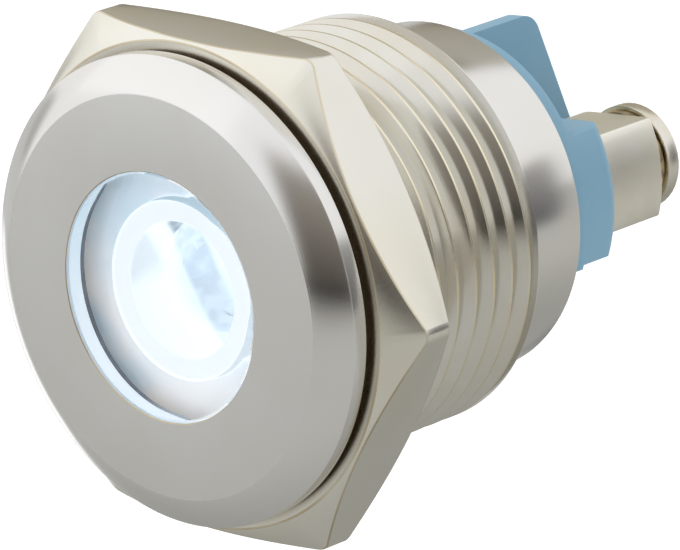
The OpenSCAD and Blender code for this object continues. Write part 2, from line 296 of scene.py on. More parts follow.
face_finish, face_shader = plated_metal(
    "satin nickel face", (0.77, 0.77, 0.755), (0.75, 0.745, 0.725), 0.4, 0.08)
add_turning(face_finish, face_shader, 1.0, 0.0, 0.06 * MM, 0.08)
bevel_finish, bevel_shader = plated_metal(
    "bright nickel bevel", (0.79, 0.785, 0.775), (0.78, 0.77, 0.745), 0.15, 0.05)
add_turning(bevel_finish, bevel_shader, 1.0, 0.3, 0.05 * MM, 0.08)
barrel_finish, barrel_shader = plated_metal(
    "nickel barrel", (0.79, 0.785, 0.765), (0.78, 0.765, 0.73), 0.17, 0.05)
add_turning(barrel_finish, barrel_shader, 0.3, 1.0, 0.05 * MM, 0.06)
flank_finish, flank_shader = plated_metal(
    "thread flank", (0.72, 0.71, 0.66), (0.68, 0.65, 0.58), 0.13, 0.07)
add_turning(flank_finish, flank_shader, 0.3, 1.0, 0.05 * MM, 0.06)
# The flange's back is toned a dull brown: painted shade for the gap between flange and nut.
flange_back_shade_finish, _ = plated_metal(
    "flange back, painted shade", (0.5, 0.43, 0.32), (0.42, 0.35, 0.25), 0.5, 0.1)
crest_finish, _ = plated_metal(
    "warm thread crest", (0.9, 0.83, 0.62), (0.85, 0.74, 0.48), 0.3, 0.05)

window_finish, window_shader = plated_metal(
    "lamplit window bore", (0.82, 0.85, 0.87), (0.76, 0.8, 0.84), 0.4, 0.15, 900.0)
light_up(window_shader, (0.72, 0.86, 1.0), 0.16)
# The window's lip is toned brass.
brass_finish, _ = plated_metal(
    "brass-toned window edge", (0.62, 0.5, 0.3), (0.5, 0.38, 0.2), 0.3, 0.05)
body_finishes = [barrel_finish, face_finish, bevel_finish, crest_finish, window_finish,
                 brass_finish, flank_finish, flange_back_shade_finish]
on_barrel, on_face, on_bevel, on_crest, in_window, on_window_edge, on_flank, on_back = range(8)

bm = bmesh.new()
thread_profile = [(root_r, 0), (root_r + 0.02 * MM, 0.1 * MM), (root_r + 0.12 * MM, 0.19 * MM),
                  (crest_r - 0.03 * MM, 0.425 * MM), (crest_r, 0.455 * MM),
                  (crest_r, 0.545 * MM), (crest_r - 0.03 * MM, 0.575 * MM),
                  (root_r + 0.12 * MM, 0.81 * MM), (root_r + 0.02 * MM, 0.9 * MM),
                  (root_r, 1.0 * MM)]
first_root = crest_at_right - 2.5 * thread_pitch
cut_thread(bm, [(r, y + first_root) for r, y in thread_profile], thread_pitch, 14)
trim(bm, thread_start_y, keep_front=False)
trim(bm, thread_end_y - 0.16 * MM, keep_front=True)
for face in bm.faces:
    crest = from_axis(face.calc_center_median()) > crest_r - 0.01 * MM
    face.material_index = on_crest if crest else on_flank
thread_faces = set(bm.faces)
turn_profile(bm, [
    (crest_r, thread_end_y - 0.06 * MM), (crest_r, thread_end_y - 0.02 * MM),
    (crest_r - 0.03 * MM, thread_end_y), (tail_r + 0.1 * MM, thread_end_y),
    (tail_r, thread_end_y + 0.1 * MM),
    (tail_r, tail_end_y - 0.15 * MM), (tail_r - 0.04 * MM, tail_end_y - 0.05 * MM),
    (tail_r - 0.15 * MM, tail_end_y), (bore_r, tail_end_y),
    (bore_r, seat_y), (window_r, seat_y), (window_r, front_y + 0.03 * MM),
    (window_r + 0.03 * MM, front_y), (face_r - 0.01 * MM, front_y),
    (face_r + 0.03 * MM, front_y + 0.01 * MM),
    (flange_r - 0.05 * MM, front_y + bevel_length - 0.03 * MM),
    (flange_r, front_y + bevel_length + 0.02 * MM),
    (flange_r, -0.06 * MM), (flange_r - 0.06 * MM, 0), (root_r - 0.03 * MM, 0),
    (root_r - 0.03 * MM, seat_y), (root_r - 0.03 * MM, thread_start_y - 0.1 * MM)])
for face in bm.faces:
    if face in thread_faces:
        continue
    middle = face.calc_center_median()
    out = from_axis(middle)
    if middle.y < front_y + 0.005 * MM and out < face_r:
        face.material_index = on_face
    elif middle.y < -0.01 * MM and out > face_r:
        face.material_index = on_bevel
    elif -0.001 * MM < middle.y < 0.001 * MM:
        face.material_index = on_back
    elif out < window_r + 0.05 * MM:
        face.material_index = in_window if middle.y > front_y + 0.1 * MM else on_window_edge
close_ends(bm, 2 * thread_start_y)
body_metal = make_piece("body_turning", bm, "lamp", body_finishes)
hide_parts("housing")


# ---------------------------------------------------------------------------
# Panel gasket: a flat ring of dark rubber, stamped from sheet. It slips over
# the thread and seals the flange against the panel.
# ---------------------------------------------------------------------------
# Moulded skin: two close tones in a soft grain, an uneven gloss and a fine texture.
skin, skin_in, skin_out = new_group(
    "moulded skin",
    [("Tone", (0.5, 0.5, 0.5, 1)), ("Second Tone", (0.5, 0.5, 0.5, 1)), ("Cloud Scale", 300.0),
     ("Grain Scale", 6000.0), ("Gloss", 0.5), ("Gloss Spread", 0.1)],
    [("Color", "NodeSocketColor"), ("Roughness", "NodeSocketFloat"), ("Height", "NodeSocketFloat")])
place = place_of(skin)
cloud = noise(skin, place, skin_in.outputs["Cloud Scale"], 3)
grain = noise(skin, place, skin_in.outputs["Grain Scale"], 5)
skin.links.new(blend_tones(skin, cloud, skin_in.outputs["Tone"], skin_in.outputs["Second Tone"]),
               skin_out.inputs["Color"])
skin.links.new(maths(skin, "MULTIPLY_ADD", grain, skin_in.outputs["Gloss Spread"],
                     skin_in.outputs["Gloss"]), skin_out.inputs["Roughness"])
skin.links.new(grain, skin_out.inputs["Height"])


def moulded(name, tone, second, gloss, spread_by=0.1, cloud_scale=300.0, grain_scale=6000.0,
            bump=0.15, ior=1.5):
    """A rubber or plastic with the moulded skin's tones, gloss and texture."""
    finish, shader = new_finish(name, gloss, ior=ior)
    cover(finish, shader, skin,
          {"Tone": tone, "Second Tone": second, "Cloud Scale": cloud_scale,
           "Grain Scale": grain_scale, "Gloss": gloss, "Gloss Spread": spread_by},
          bump, 0.02 * MM)
    return finish, shader


def finish_node(name, finish):
    """Gives a CAD node that is shown as it is its material."""
    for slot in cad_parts[name].material_slots:
        slot.material = finish


# The rubber is toned a warm brown, lighter than black rubber: partly the rubber's own dark tone,
# partly painted shade for the gap between flange and nut.
rubber_gap_shade_finish, _ = moulded(
    "dark rubber", (0.1, 0.085, 0.065), (0.15, 0.125, 0.095), 0.6, 0.15)
finish_node("panel_gasket", rubber_gap_shade_finish)


# ---------------------------------------------------------------------------
# Fixing nut: an 18.9 mm hex of plated brass, chamfered at both ends where the
# bar was turned, with a tapped M16x1 hole. It clamps the panel from behind.
# ---------------------------------------------------------------------------
nut_low, nut_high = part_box("hex_nut")
nut_front, nut_back = nut_low.y, nut_high.y
nut_flat_r = 9.45 * MM
nut_turn = math.radians(-6)
front_chamfer, back_chamfer = math.radians(32), math.radians(28)
front_chamfer_r, back_chamfer_r = 9.3 * MM, 9.0 * MM
nut_corner_r = nut_flat_r / math.cos(math.radians(30))
nut_round_r = 0.6 * MM
nut_bore_r = 8.05 * MM
countersink = 0.35 * MM


def repaint(shader, share, first=None, second=None):
    """Blends a finish's tone with another by a share; the one left out is the tone it has."""
    tone = shader.inputs["Base Color"]
    own = tone.links[0].from_socket
    shader.id_data.links.new(blend_tones(shader.id_data, share, first or own, second or own), tone)


def slice_off(bm, outward, reach):
    """Cuts a flat, at a distance from the middle in one direction, and closes it."""
    cut = bmesh.ops.bisect_plane(bm, geom=bm.verts[:] + bm.edges[:] + bm.faces[:], dist=0,
                                 plane_co=outward * reach, plane_no=outward, clear_outer=True)
    rim = [g for g in cut["geom_cut"] if isinstance(g, bmesh.types.BMEdge)]
    bmesh.ops.holes_fill(bm, edges=rim, sides=0)


def hard_edges(bm, over):
    """The edges whose two faces turn by more than an angle in degrees."""
    return [e for e in bm.edges if len(e.link_faces) == 2
            and e.calc_face_angle(0) > math.radians(over)]


def ease_edges(bm, edges, by, segments=2, clamp=False):
    """Takes the sharpness off edges."""
    return bmesh.ops.bevel(bm, geom=edges, offset=by, offset_type="OFFSET", segments=segments,
                           profile=0.5, affect="EDGES", material=-1, clamp_overlap=clamp)


nut_finish, _ = plated_metal(
    "bright nickel nut", (0.8, 0.785, 0.72), (0.79, 0.76, 0.67), 0.2, 0.07, 160.0, 0.05)
nut_edge_finish, _ = plated_metal(
    "rubbed nut edge", (0.72, 0.66, 0.52), (0.56, 0.48, 0.34), 0.3, 0.05)
nut_thread_finish, nut_thread_shader = plated_metal(
    "tapped nut bore", (0.7, 0.68, 0.62), (0.68, 0.63, 0.53), 0.3, 0.06)
grooves = nut_thread_finish.node_tree.nodes.new("ShaderNodeTexWave")
grooves.bands_direction = "Y"
grooves.wave_profile = "TRI"
grooves.inputs["Scale"].default_value = math.tau / 20 / thread_pitch
nut_thread_finish.node_tree.links.new(place_of(nut_thread_finish.node_tree),
                                      grooves.inputs["Vector"])
add_bump(nut_thread_finish, nut_thread_shader, grooves.outputs["Fac"], 1.0, 0.4 * MM)

# Painted shade: within 8.7 mm of the axis the nut's front face is dark brown, fading out by 9.3 mm,
# for the dark gap behind the flange.
nut_face_shade_finish, nut_face_shade_shader = plated_metal(
    "nut face, painted gap shade", (0.8, 0.785, 0.72), (0.79, 0.76, 0.67), 0.25, 0.07, 160.0, 0.05)
tree = nut_face_shade_finish.node_tree
x, y, z = axes_of(tree)
clear_of_gap_shade = clear_between(tree, reach_of(tree, x, z), 8.7 * MM, 9.3 * MM)
repaint(nut_face_shade_shader, clear_of_gap_shade, first=(0.4, 0.33, 0.23))
nut_finishes = [nut_finish, nut_edge_finish, nut_thread_finish, nut_face_shade_finish]
on_nut, on_nut_edge, in_nut_bore, on_nut_face = range(4)

bm = bmesh.new()
nut_limit_r = nut_corner_r + 0.3 * MM
turn_profile(bm, [
    (nut_bore_r + countersink, nut_front), (front_chamfer_r, nut_front),
    (nut_limit_r, nut_front + (nut_limit_r - front_chamfer_r) * math.tan(front_chamfer)),
    (nut_limit_r, nut_back - (nut_limit_r - back_chamfer_r) * math.tan(back_chamfer)),
    (back_chamfer_r, nut_back), (nut_bore_r + countersink, nut_back),
    (nut_bore_r, nut_back - countersink), (nut_bore_r, nut_front + countersink),
    (nut_bore_r + countersink, nut_front)], steps=240)
round_centre_r = nut_corner_r - nut_round_r / math.cos(math.radians(30))
for side in range(6):
    for lean in (30, 20, 10, 0, -10, -20):
        turn = nut_turn + math.radians(60 * side + lean)
        slice_off(bm, Vector((math.cos(turn), 0, math.sin(turn))),
                  round_centre_r * math.cos(math.radians(lean)) + nut_round_r)
bmesh.ops.remove_doubles(bm, verts=bm.verts, dist=0.003 * MM)
for face in bm.faces:
    middle = face.calc_center_median()
    if from_axis(middle) < nut_bore_r + 0.01 * MM:
        face.material_index = in_nut_bore
    elif middle.y < nut_front + 0.001 * MM:
        face.material_index = on_nut_face
outer_edges = [e for e in hard_edges(bm, 14)
               if from_axis(e.verts[0].co) > back_chamfer_r - 0.1 * MM]
for face in ease_edges(bm, outer_edges, 0.05 * MM, clamp=True)["faces"]:
    face.material_index = on_nut_edge
nut = make_piece("fixing_nut", bm, "nut", nut_finishes)
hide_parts("hex_nut")


# ---------------------------------------------------------------------------
# Lens seal: a thin ring of silicone behind the window's lip, painted dark grey
# as shade and pale towards +X as light. The lens's flange is pressed against it.
# ---------------------------------------------------------------------------
seal_shade_finish, seal_shade_shader = moulded(
    "silicone, painted light and shade", (0.05, 0.05, 0.07), (0.3, 0.32, 0.37), 0.45, 0.1, 420.0)
tree = seal_shade_finish.node_tree
x, y, z = axes_of(tree)
# Pale towards +X and dark grey towards -X: painted light and shade.
repaint(seal_shade_shader, clear_between(tree, x, -0.8 * MM, -2.4 * MM), first=(0.6, 0.66, 0.7))
finish_node("lens_seal", seal_shade_finish)


# ---------------------------------------------------------------------------
# Lens: a moulding of clear acrylic with a frosted rim. Its boss is flush with
# the face, its flange sits behind the window and the holder's nose fits its back.
# ---------------------------------------------------------------------------
lens_low, lens_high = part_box("lens")
lens_front_y = lens_low.y
boss_r = window_r - 0.015 * MM
lens_flange_r = lens_high.x
lens_flange_y = 0.55 * MM
pocket_r = 3.37 * MM
lens_ease = 0.3 * MM
boss_end_y = seat_y - 0.2 * MM

lens_finish, lens_shader = new_finish("clear acrylic", 0.015, ior=1.49)
lens_shader.inputs["Base Color"].default_value = (0.975, 0.99, 1.0, 1)
lens_shader.inputs["Transmission Weight"].default_value = 1.0
ripple = noise(lens_finish.node_tree, place_of(lens_finish.node_tree), 260, 2)
add_bump(lens_finish, lens_shader, ripple, 0.12, 0.04 * MM)

frost_glow_finish, frost_glow_shader = moulded(
    "frosted lens rim, painted glow", (0.62, 0.7, 0.76), (0.8, 0.84, 0.87), 0.5, 0.1, 500.0, 4000.0, 0.3)
# Painted light: the frosted rim glows pale blue, darker towards +Z and lighter towards -Z.
tree = frost_glow_finish.node_tree
x, y, z = axes_of(tree)
light_up(frost_glow_shader, blend_tones(tree, clear_between(tree, z, 4 * MM, -3 * MM),
                                   (0.38, 0.5, 0.58), (0.66, 0.72, 0.77)), 0.7)
# The boss's side behind the seal takes the seal's finish, with its painted light and shade.
in_clear, on_frost, by_seal = range(3)

bm = bmesh.new()
turn_profile(bm, [
    (0, lens_front_y), (boss_r - lens_ease, lens_front_y),
    (boss_r - 0.3 * lens_ease, lens_front_y + 0.15 * lens_ease),
    (boss_r, lens_front_y + 0.5 * lens_ease),
    (boss_r, boss_end_y), (boss_r, lens_flange_y),
    (lens_flange_r - 0.05 * MM, lens_flange_y), (lens_flange_r, lens_flange_y + 0.05 * MM),
    (lens_flange_r, lens_high.y - 0.05 * MM), (lens_flange_r - 0.05 * MM, lens_high.y),
    (pocket_r, lens_high.y), (pocket_r, lens_flange_y),
    (0, lens_flange_y)], steps=128)
for face in bm.faces:
    middle = face.calc_center_median()
    out = from_axis(middle)
    if abs(out - boss_r) < 0.02 * MM and middle.y > lens_front_y + 0.3 * MM:
        face.material_index = on_frost if middle.y < boss_end_y else by_seal
    elif abs(out - pocket_r) < 0.02 * MM:
        face.material_index = on_frost
lens = make_piece("lens_moulding", bm, "lamp", [lens_finish, frost_glow_finish, seal_shade_finish])
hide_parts("lens")


# ---------------------------------------------------------------------------
# LED holder: a white nylon tube with a nose. It presses the lens forward,
# keeps the LED in the middle and throws its light out of the window.
# ---------------------------------------------------------------------------
holder_low, holder_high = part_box("led_holder")
nose_r = 3.35 * MM
holder_seat_y = 1.4 * MM
led_hole_r = 2.55 * MM
led_rim_hole_r = 2.95 * MM
led_seat_y = 7.25 * MM

# Lamplight: the bright, slanting streaks that the lit LED throws on the nose and its own dome.
lamplight, lamplight_in, lamplight_out = new_group(
    "lamplight", [("Bright", (0.6, 0.65, 0.7, 1)), ("Dim", (0.04, 0.06, 0.08, 1))],
    [("Color", "NodeSocketColor")])
x, y, z = axes_of(lamplight)
depth = maths(lamplight, "SUBTRACT", y, holder_low.y)
lean_x = maths(lamplight, "MULTIPLY_ADD", depth, 0.97, x)
lean_z = maths(lamplight, "MULTIPLY_ADD", depth, 0.35, z)
aside = maths(lamplight, "MULTIPLY_ADD", lean_z, 0.43, maths(lamplight, "MULTIPLY", lean_x, 0.9))
along = maths(lamplight, "MULTIPLY_ADD", lean_z, -0.9, maths(lamplight, "MULTIPLY", lean_x, 0.43))
patchy = clear_between(lamplight, noise(lamplight, place_of(lamplight), 900, 2), 0.38, 0.6)
right_band = maths(lamplight, "MULTIPLY", clear_between(lamplight, aside, 0.45 * MM, 0.8 * MM),
                   clear_between(lamplight, aside, 2.3 * MM, 1.9 * MM))
right_band = maths(lamplight, "MULTIPLY", right_band,
                   maths(lamplight, "MULTIPLY_ADD", patchy, 0.55, 0.45))
upper_left = maths(lamplight, "MULTIPLY", clear_between(lamplight, aside, -0.2 * MM, -0.6 * MM),
                   clear_between(lamplight, along, -0.6 * MM, -1.5 * MM))
dim = maths(lamplight, "MAXIMUM", right_band, maths(lamplight, "MULTIPLY", upper_left, 0.3))
on_dome = clear_between(lamplight, reach_of(lamplight, lean_x, lean_z), 2.7 * MM, 2.35 * MM)
dim = maths(lamplight, "MULTIPLY", dim, on_dome)
lamplight.links.new(blend_tones(lamplight, dim, lamplight_in.outputs["Bright"],
                                lamplight_in.outputs["Dim"]), lamplight_out.inputs["Color"])


def lamplit(tree, bright, dim):
    """The lamplight's colour on this material."""
    return use_group(tree, lamplight, {"Bright": bright, "Dim": dim}).outputs["Color"]


holder_glow_finish, holder_glow_shader = moulded(
    "white nylon", (0.86, 0.89, 0.92), (0.92, 0.95, 0.98), 0.4, 0.1, 200.0, 3000.0, 0.1)
tree = holder_glow_finish.node_tree
x, y, z = axes_of(tree)
# Painted light: the holder glows with the LED's streaks from the lamplight, dim deep in the hole
# and bright at the nose's front.
near_led = clear_between(tree, reach_of(tree, x, z), 3.5 * MM, 3.3 * MM)
flange_glow_mottle = clear_between(tree, noise(tree, place_of(tree), 330, 2), 0.35, 0.7)
deep = clear_between(tree, y, 2.6 * MM, 4.2 * MM)
glow = blend_tones(tree, deep, lamplit(tree, (0.85, 0.9, 0.93), (0.05, 0.07, 0.09)),
                   (0.03, 0.04, 0.05))
nose_front = clear_between(tree, y, holder_low.y + 0.12 * MM, holder_low.y + 0.06 * MM)
glow = blend_tones(tree, nose_front, glow, (0.84, 0.88, 0.9))
# Painted light and shade: away from the LED the holder glows a mottled blue-grey and beige, and
# near the LED its base colour is grey.
glow = blend_tones(tree, near_led, blend_tones(tree, flange_glow_mottle, (0.16, 0.24, 0.3), (0.4, 0.36, 0.33)),
                   glow)
repaint(holder_glow_shader, near_led, second=(0.36, 0.4, 0.43))
light_up(holder_glow_shader, glow, 0.8)

bm = bmesh.new()
ease = 0.06 * MM
turn_profile(bm, [
    (led_hole_r, holder_low.y + ease), (led_hole_r + ease, holder_low.y),
    (nose_r - ease, holder_low.y), (nose_r, holder_low.y + ease), (nose_r, holder_seat_y),
    (holder_high.x - ease, holder_seat_y), (holder_high.x, holder_seat_y + ease),
    (holder_high.x, holder_high.y - ease), (holder_high.x - ease, holder_high.y),
    (led_rim_hole_r, holder_high.y), (led_rim_hole_r, led_seat_y), (led_hole_r, led_seat_y),
    (led_hole_r, holder_low.y + ease)], steps=128)
holder = make_piece("holder_moulding", bm, "lamp", [holder_glow_finish])
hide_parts("led_holder")


# ---------------------------------------------------------------------------
# LED: a 5 mm lamp cast in clear resin, with a dome in front and a rim that is
# flat beside the cathode. Inside are its plated cup, the lit die and an anvil.
# ---------------------------------------------------------------------------
led_low, led_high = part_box("led_body")
led_r = 2.5 * MM
led_rim_r = led_high.x
led_rim_flat = led_low.z
dome_y = led_low.y + led_r
led_end_y = led_high.y

resin_finish, resin_shader = new_finish("clear casting resin", 0.03, ior=1.5)
resin_shader.inputs["Base Color"].default_value = (0.9, 0.955, 1.0, 1)
resin_shader.inputs["Transmission Weight"].default_value = 1.0
resin_base_finish, resin_base_shader = moulded(
    "frosted resin base, painted glow", (0.78, 0.84, 0.9), (0.66, 0.74, 0.82), 0.5, 0.1, 700.0)
# Painted light: the frosted base glows pale blue.
light_up(resin_base_shader, (0.7, 0.85, 1.0), 0.12)
tree = resin_finish.node_tree
flow = noise(tree, place_of(tree), 420, 2)
light_up(resin_shader, lamplit(tree, (0.32, 0.35, 0.37), (0.0, 0.0, 0.0)), 0.9)
add_bump(resin_finish, resin_shader, flow, 0.15, 0.05 * MM)

bm = bmesh.new()
dome = [(led_r * math.sin(math.radians(a)), dome_y - led_r * math.cos(math.radians(a)))
        for a in range(0, 91, 5)]
turn_profile(bm, dome + [
    (led_r, led_end_y - 1.0 * MM), (led_rim_r - 0.05 * MM, led_end_y - 1.0 * MM),
    (led_rim_r, led_end_y - 0.95 * MM), (led_rim_r, led_end_y - 0.05 * MM),
    (led_rim_r - 0.05 * MM, led_end_y), (0, led_end_y)], steps=96)
slice_off(bm, Vector((0, 0, -1)), -led_rim_flat)
for face in bm.faces:
    if face.calc_center_median().y > led_end_y - 0.9 * MM:
        face.material_index = 1
led = make_piece("led_resin", bm, "lamp", [resin_finish, resin_base_finish])
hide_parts("led_body")

cup_finish, cup_shader = plated_metal(
    "lit silver cup", (0.9, 0.93, 0.95), (0.86, 0.89, 0.92), 0.3, 0.1, 700.0)
light_up(cup_shader, (0.75, 0.87, 1.0), 0.12)
die_finish, die_shader = moulded(
    "lit die", (0.95, 0.97, 1.0), (0.85, 0.92, 1.0), 0.5, 0.1, 3000.0)
light_up(die_shader, (0.85, 0.94, 1.0), 1.5)
cathode_z = -1.27 * MM
cup_y = 4.3 * MM
cup_floor_y = cup_y + 0.55 * MM
cup_floor_r = 0.45 * MM

bm = bmesh.new()
turn_profile(bm, [
    (cup_floor_r, cup_floor_y), (0.95 * MM, cup_y), (1.15 * MM, cup_y),
    (1.15 * MM, cup_y + 0.4 * MM), (0.75 * MM, cup_y + 1.3 * MM), (0, cup_y + 1.3 * MM)],
    steps=64)
bmesh.ops.create_circle(bm, cap_ends=True, radius=cup_floor_r, segments=64,
                        matrix=Matrix.Translation((0, cup_floor_y, 0))
                        @ Matrix.Rotation(math.pi / 2, 4, "X"))
bmesh.ops.remove_doubles(bm, verts=bm.verts, dist=0.005 * MM)
stem = bmesh.ops.create_cube(bm, size=1, matrix=Matrix.Translation((0, 7.0 * MM, cathode_z * 0.7))
                             @ Matrix.Diagonal((0.5 * MM, 2.8 * MM, 1.3 * MM, 1)))
ease_edges(bm, [e for e in bm.edges if e.verts[0] in stem["verts"]], 0.08 * MM)
cup = make_piece("led_cup", bm, "lamp", [cup_finish])

bm = bmesh.new()
bmesh.ops.create_cube(bm, size=1, matrix=Matrix.Translation((0, 6.4 * MM, 1.35 * MM))
                      @ Matrix.Diagonal((0.5 * MM, 3.8 * MM, 0.8 * MM, 1)))
ease_edges(bm, bm.edges[:], 0.1 * MM)
anvil = make_piece("led_anvil", bm, "lamp", [cup_finish])

bm = bmesh.new()
bmesh.ops.create_cube(bm, size=0.4 * MM, matrix=Matrix.Translation((0, cup_y + 0.36 * MM, 0)))
ease_edges(bm, bm.edges[:], 0.03 * MM)
die = make_piece("led_die", bm, "lamp", [die_finish])


# ---------------------------------------------------------------------------
# LED leads: two tinned wires from the LED's back through the board, each with
# a cone of solder behind it.
# ---------------------------------------------------------------------------
tin_finish, _ = plated_metal(
    "tinned wire", (0.74, 0.74, 0.73), (0.66, 0.66, 0.65), 0.32, 0.15, 900.0, 0.08)
finish_node("led_anode_lead", tin_finish)
finish_node("led_cathode_lead", tin_finish)


# ---------------------------------------------------------------------------
# Circuit board: a round of green glass laminate that carries the LED and its
# two parts, and is soldered to the terminals' pins.
# ---------------------------------------------------------------------------
board_finish, _ = moulded(
    "green laminate", (0.02, 0.16, 0.07), (0.03, 0.22, 0.1), 0.35, 0.08, 500.0, 2500.0, 0.2)
finish_node("circuit_board", board_finish)


# ---------------------------------------------------------------------------
# Series resistor: an axial resistor in pale lacquer that lies behind the board.
# It limits the LED's current. Its coloured rings are painted on.
# ---------------------------------------------------------------------------
resistor_finish, resistor_shader = moulded(
    "pale lacquer", (0.62, 0.48, 0.3), (0.68, 0.54, 0.35), 0.3, 0.08, 600.0)
tree = resistor_finish.node_tree
x, y, z = axes_of(tree)
ring_spacing = 0.9 * MM
ring_wave = maths(tree, "SINE", maths(tree, "MULTIPLY", x, math.tau / ring_spacing))
repaint(resistor_shader, clear_between(tree, ring_wave, 0.55, 0.7), second=(0.3, 0.08, 0.03))
finish_node("series_resistor", resistor_finish)


# ---------------------------------------------------------------------------
# Protection diode: a small black diode beside the resistor, which spares the
# LED if the supply is connected the wrong way round. Its band is raised.
# ---------------------------------------------------------------------------
diode_finish, _ = moulded(
    "black casting resin", (0.015, 0.015, 0.016), (0.03, 0.03, 0.032), 0.35, 0.1, 600.0)
finish_node("protection_diode", diode_finish)


# ---------------------------------------------------------------------------
# Base O-ring: dark rubber in the terminal base's groove. It grips the body's
# bore, seals it and holds the base in place.
# ---------------------------------------------------------------------------
# It takes the gasket's rubber, whose brown tone is partly painted shade for the flange-nut gap.
finish_node("base_oring", rubber_gap_shade_finish)


# ---------------------------------------------------------------------------
# Terminal base: moulded in blue thermoplastic, with a barrier between the two
# terminals and a collar round each post. It plugs into the body's tail.
# ---------------------------------------------------------------------------
def merged_copy(node):
    """A copy of a CAD node's mesh, with its loose triangles merged into flat faces."""
    bm = bmesh.new()
    bm.from_mesh(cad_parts[node].data)
    bmesh.ops.remove_doubles(bm, verts=bm.verts, dist=0.0005 * MM)
    bmesh.ops.dissolve_limit(bm, angle_limit=math.radians(0.6), use_dissolve_boundaries=False,
                             verts=bm.verts, edges=bm.edges)
    return bm


def eased_copy(node, name, body, finishes, ease_by):
    """A piece in a CAD node's shape, with the sharpness off its edges."""
    bm = merged_copy(node)
    ease_edges(bm, hard_edges(bm, 30), ease_by, segments=3, clamp=True)
    piece = make_piece(name, bm, body, finishes, sharp=35)
    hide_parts(node)
    return piece


blue_finish, blue_shader = moulded(
    "blue thermoplastic", (0.215, 0.41, 0.55), (0.235, 0.43, 0.57), 0.34, 0.08, 260.0, 5000.0, 0.1)
blue_shader.inputs["Subsurface Weight"].default_value = 0.15
blue_shader.inputs["Subsurface Radius"].default_value = (0.4, 0.7, 1.0)
blue_shader.inputs["Subsurface Scale"].default_value = 0.4 * MM
base = eased_copy("terminal_base", "base_moulding", "lamp", [blue_finish], 0.12 * MM)


# ---------------------------------------------------------------------------
# Terminal posts: two blocks of plated brass, flat above and below and round
# outside. Each is tapped at its end and pressed through the base.
# ---------------------------------------------------------------------------
post_finish, _ = plated_metal(
    "nickel post", (0.92, 0.9, 0.82), (0.88, 0.84, 0.72), 0.33, 0.1, 420.0, 0.06)
for side in ("left", "right"):
    post = eased_copy(side + "_post", side + "_post_block", "lamp", [post_finish], 0.07 * MM)


# ---------------------------------------------------------------------------
# Spring washers: one under each screw's head, coiled from flat steel wire and
# cut through, with the cut ends sprung a little apart.
# ---------------------------------------------------------------------------
washer_hole_r = 1.36 * MM
flat_share = 0.82
coil_steps = 64
coil_turn = math.radians(350)
gap_turn = 1.4
washer_finish, _ = plated_metal(
    "blued spring steel", (0.78, 0.64, 0.38), (0.34, 0.25, 0.15), 0.35, 0.15, 1800.0, 0.3)

for side in ("left", "right"):
    low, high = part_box(side + "_spring_washer")
    washer_r = (high.x - low.x) / 2
    centre_x = (high.x + low.x) / 2
    thick = (high.y - low.y) * flat_share
    lift = (high.y - low.y) - thick
    bm = bmesh.new()
    section = [bm.verts.new((r, y, 0)) for r, y in
               ((washer_hole_r, low.y), (washer_r, low.y), (washer_r, low.y + thick),
                (washer_hole_r, low.y + thick))]
    start = bm.faces.new(section)
    bmesh.ops.spin(bm, geom=[start] + section + list(start.edges), cent=(0, 0, 0), axis=(0, -1, 0),
                   dvec=(0, lift / coil_steps, 0), angle=coil_turn, steps=coil_steps,
                   use_merge=False, use_normal_flip=False, use_duplicate=False)
    bmesh.ops.rotate(bm, verts=bm.verts, cent=(0, 0, 0),
                     matrix=Matrix.Rotation(gap_turn, 3, "Y"))
    bmesh.ops.translate(bm, verts=bm.verts, vec=(centre_x, 0, 0))
    ease_edges(bm, hard_edges(bm, 40), 0.04 * MM)
    washer = make_piece(side + "_washer_coil", bm, side + "_washer", [washer_finish])
    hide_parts(side + "_spring_washer")


# ---------------------------------------------------------------------------
# Terminal screws: M2.5 round-head screws of plated brass with a cross slot
# and a rolled thread. Each clamps a wire's tag on the end of its post.
# ---------------------------------------------------------------------------
screw_pitch = 0.45 * MM
screw_crest_r = 1.24 * MM
screw_root_r = 0.98 * MM
shank_length = 4.3 * MM
head_overlap = 0.1 * MM
thread_ends = 0.25 * MM

screw_finish, _ = plated_metal(
    "nickel screw", (0.79, 0.765, 0.7), (0.7, 0.62, 0.46), 0.24, 0.1, 500.0, 0.06)
screw_thread = [(screw_root_r, 0), (screw_root_r + 0.02 * MM, 0.05 * MM),
                (screw_crest_r, 0.2 * MM), (screw_crest_r, 0.25 * MM),
                (screw_root_r + 0.02 * MM, 0.4 * MM), (screw_root_r, 0.45 * MM)]

for side in ("left", "right"):
    low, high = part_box(side + "_screw")
    centre_x = (high.x + low.x) / 2
    tip_y, head_y = low.y, low.y + shank_length
    head = merged_copy(side + "_screw")
    trim(head, head_y - head_overlap, keep_front=False)
    ease_edges(head, hard_edges(head, 30), 0.04 * MM, clamp=True)
    bmesh.ops.translate(head, verts=head.verts, vec=(-centre_x, 0, 0))
    head_mesh = bpy.data.meshes.new(side + " screw head")
    head.to_mesh(head_mesh)
    head.free()

    bm = bmesh.new()
    cut_thread(bm, [(r, y + tip_y - 0.6 * MM) for r, y in screw_thread], screw_pitch, 11, 40)
    trim(bm, tip_y + thread_ends, keep_front=False)
    trim(bm, head_y - head_overlap - thread_ends, keep_front=True)
    turn_profile(bm, [(0, tip_y), (screw_root_r - 0.25 * MM, tip_y),
                      (screw_root_r - 0.02 * MM, tip_y + 0.15 * MM)], 80)
    bm.from_mesh(head_mesh)
    bpy.data.meshes.remove(head_mesh)
    close_ends(bm, (tip_y + head_y) / 2)
    bmesh.ops.translate(bm, verts=bm.verts, vec=(centre_x, 0, 0))
    screw = make_piece(side + "_screw_turned", bm, side + "_screw_body", [screw_finish])
    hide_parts(side + "_screw")


